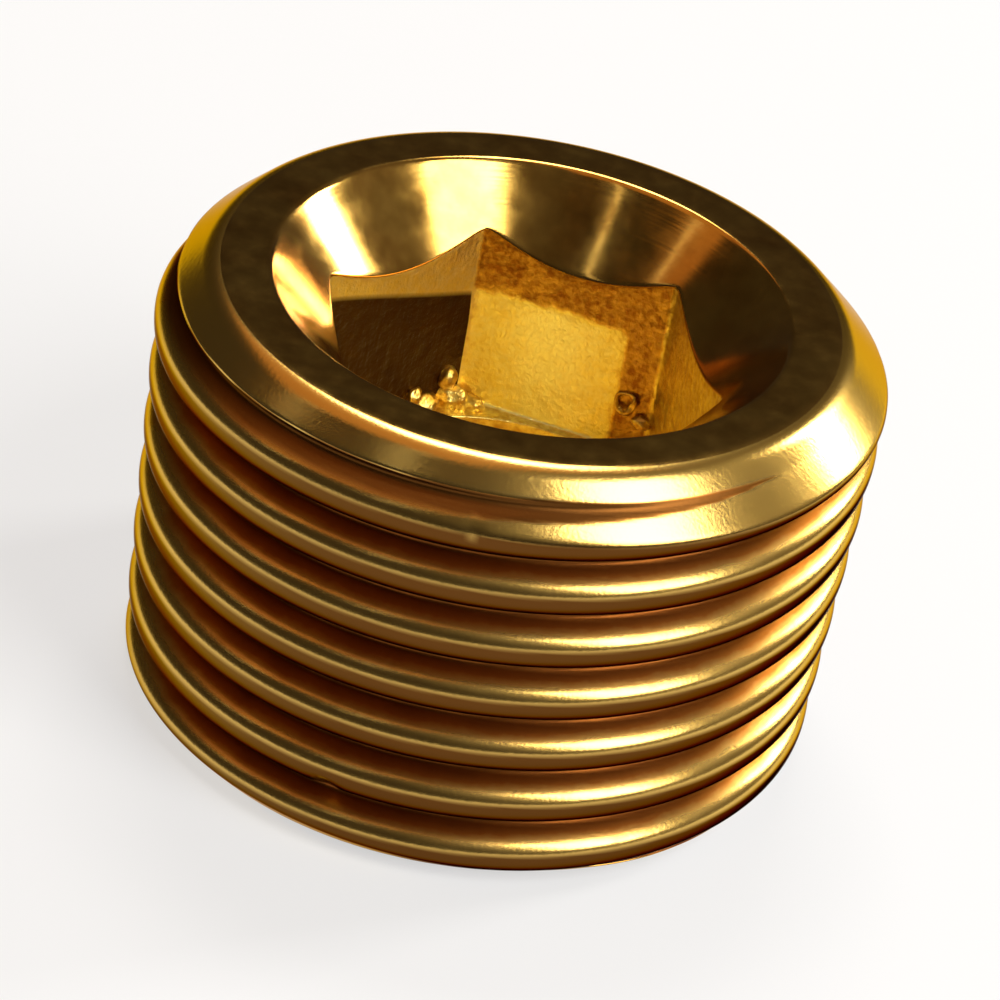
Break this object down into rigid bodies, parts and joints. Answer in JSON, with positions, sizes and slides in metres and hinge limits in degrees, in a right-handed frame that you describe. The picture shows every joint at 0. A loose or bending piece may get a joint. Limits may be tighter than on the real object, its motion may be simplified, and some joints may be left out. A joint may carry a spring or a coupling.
{
  "type": "pipe plug",
  "caption": "Turned brass pipe plug with a taper thread over its whole length and a countersunk hexagon socket in its large end, for closing a threaded port.",
  "frame": {"origin": "centre of the small end, on the face it stands on", "axes": "+Z along the plug's axis, from the small end towards the socket; +Y square to one of the socket's flats"},
  "size_m": [0.0212, 0.0212, 0.0135],
  "materials": {
    "brass": "bright turned, slightly tarnished"
  },
  "bodies": {
    "root": {"plug": "brass"}
  },
  "joints": []
}
